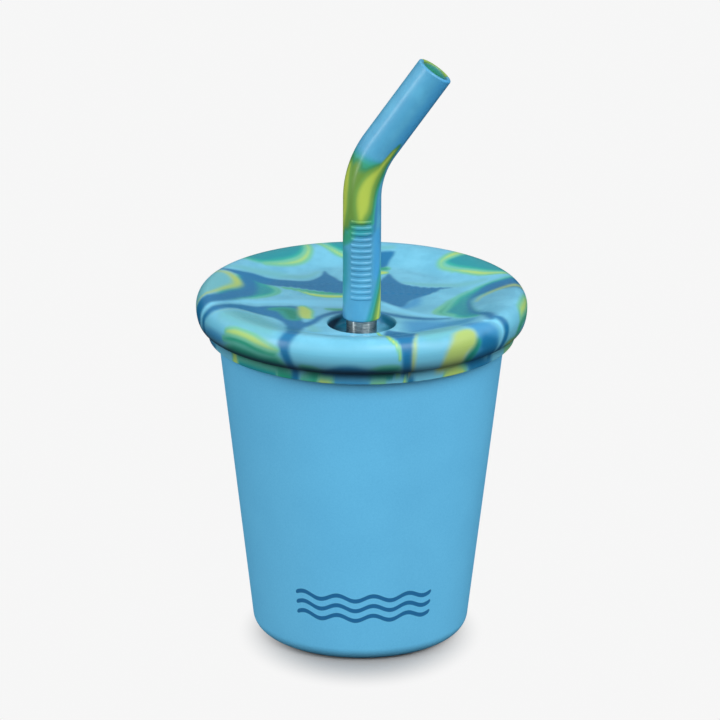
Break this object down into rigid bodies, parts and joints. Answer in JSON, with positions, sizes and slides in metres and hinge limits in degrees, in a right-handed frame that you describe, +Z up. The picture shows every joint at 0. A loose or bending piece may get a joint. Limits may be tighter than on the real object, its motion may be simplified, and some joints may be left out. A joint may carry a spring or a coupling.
{
  "type": "straw cup",
  "caption": "Small tapered steel cup with a dished silicone lid and a steel straw that ends in a bent silicone tip.",
  "frame": {"origin": "centre of the cup's foot, on the table it stands on", "axes": "+Z up the cup's axis; the straw stands at -Y of that axis; the tip bends towards +X at rest"},
  "size_m": [0.088, 0.088, 0.1636],
  "materials": {
    "cup_coat": "matte powder coat with a fine texture",
    "bare_steel": "brushed, with the strokes running round the tube",
    "lid_silicone": "satin silicone with swirled colours",
    "tip_silicone": "satin silicone with swirled colours"
  },
  "bodies": {
    "cup": {"cup_body": "cup_coat"},
    "lid": {"lid": "lid_silicone"},
    "straw": {"straw_tube": "bare_steel"},
    "tip_sleeve": {"flex_tip_sleeve": "tip_silicone"},
    "tip_mouth": {"flex_tip_mouthpiece": "tip_silicone"}
  },
  "joints": [
    {"name": "lid_lift", "type": "slide", "parent": "cup", "child": "lid", "axis": [0, 0, 1], "range_m": [0, 0.1]},
    {"name": "straw_slide", "type": "slide", "parent": "lid", "child": "straw", "axis": [0, 0, 1], "range_m": [-0.004, 0.0765]},
    {"name": "tip_swivel", "type": "hinge", "parent": "straw", "child": "tip_sleeve", "pos_m": [0, -0.0181, 0.106], "axis": [0, 0, 1], "continuous": true},
    {"name": "tip_flex", "type": "hinge", "parent": "tip_sleeve", "child": "tip_mouth", "pos_m": [0.00117, -0.0181, 0.13383], "axis": [0, 1, 0], "range_deg": [-30, 30], "stiffness_Nm_per_rad": 0.03}
  ]
}
